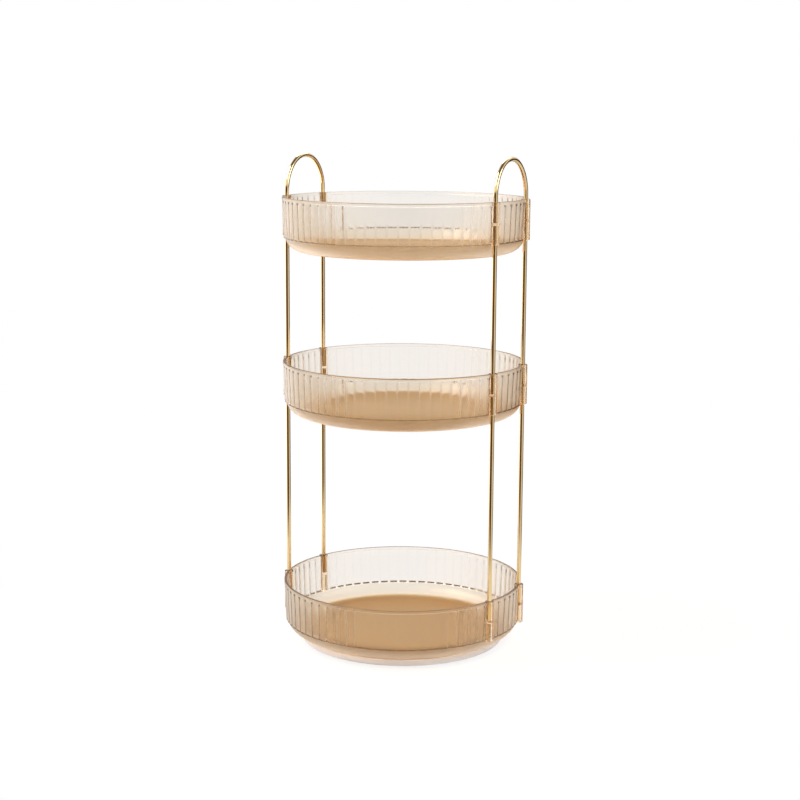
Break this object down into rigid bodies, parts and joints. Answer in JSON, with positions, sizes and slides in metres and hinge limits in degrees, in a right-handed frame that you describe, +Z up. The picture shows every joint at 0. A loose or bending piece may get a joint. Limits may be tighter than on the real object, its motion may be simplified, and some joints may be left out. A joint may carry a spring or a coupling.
{
  "type": "rotating makeup organizer",
  "caption": "Round tiered makeup organizer: fluted clear amber trays stacked on gold rods with lifting handles, on a white swivel base that turns on a ball bearing.",
  "frame": {"origin": "middle of the base where it stands on the table", "axes": "+Z up along the axis that the tower turns about, handles on +X and -X, front towards -Y"},
  "size_m": [0.224, 0.224, 0.4552],
  "materials": {
    "tray_amber": "clear moulded plastic with an amber tint, polished, floor finely textured",
    "rod_gold": "polished gold plating on steel rod",
    "base_white": "white moulded plastic, satin",
    "cage_natural": "natural moulded plastic",
    "ball_steel": "polished steel",
    "screw_zinc": "zinc plated steel",
    "foot_rubber": "grey soft rubber"
  },
  "bodies": {
    "base": {"base_plate": "base_white", "rubber_feet": "foot_rubber", "pivot_washer": "screw_zinc"},
    "tower": {"turntable": "base_white", "pivot_screw": "screw_zinc", "tray_screws": "screw_zinc", "top_tray": "tray_amber", "middle_tray": "tray_amber", "bottom_tray": "tray_amber", "lower_rod_front_right": "rod_gold", "lower_rod_back_right": "rod_gold", "lower_rod_back_left": "rod_gold", "lower_rod_front_left": "rod_gold", "upper_rod_front_right": "rod_gold", "upper_rod_back_right": "rod_gold", "upper_rod_back_left": "rod_gold", "upper_rod_front_left": "rod_gold", "left_handle": "rod_gold", "right_handle": "rod_gold"},
    "bearing": {"ball_cage": "cage_natural", "bearing_balls": "ball_steel"}
  },
  "joints": [
    {"name": "tower_spin", "type": "hinge", "parent": "base", "child": "tower", "pos_m": [0, 0, 0], "axis": [0, 0, 1], "continuous": true},
    {"name": "cage_orbit", "type": "hinge", "parent": "base", "child": "bearing", "pos_m": [0, 0, 0], "axis": [0, 0, 1], "continuous": true}
  ],
  "couplings": [
    {"joint": "cage_orbit", "follows": "tower_spin", "ratio": 0.5}
  ]
}
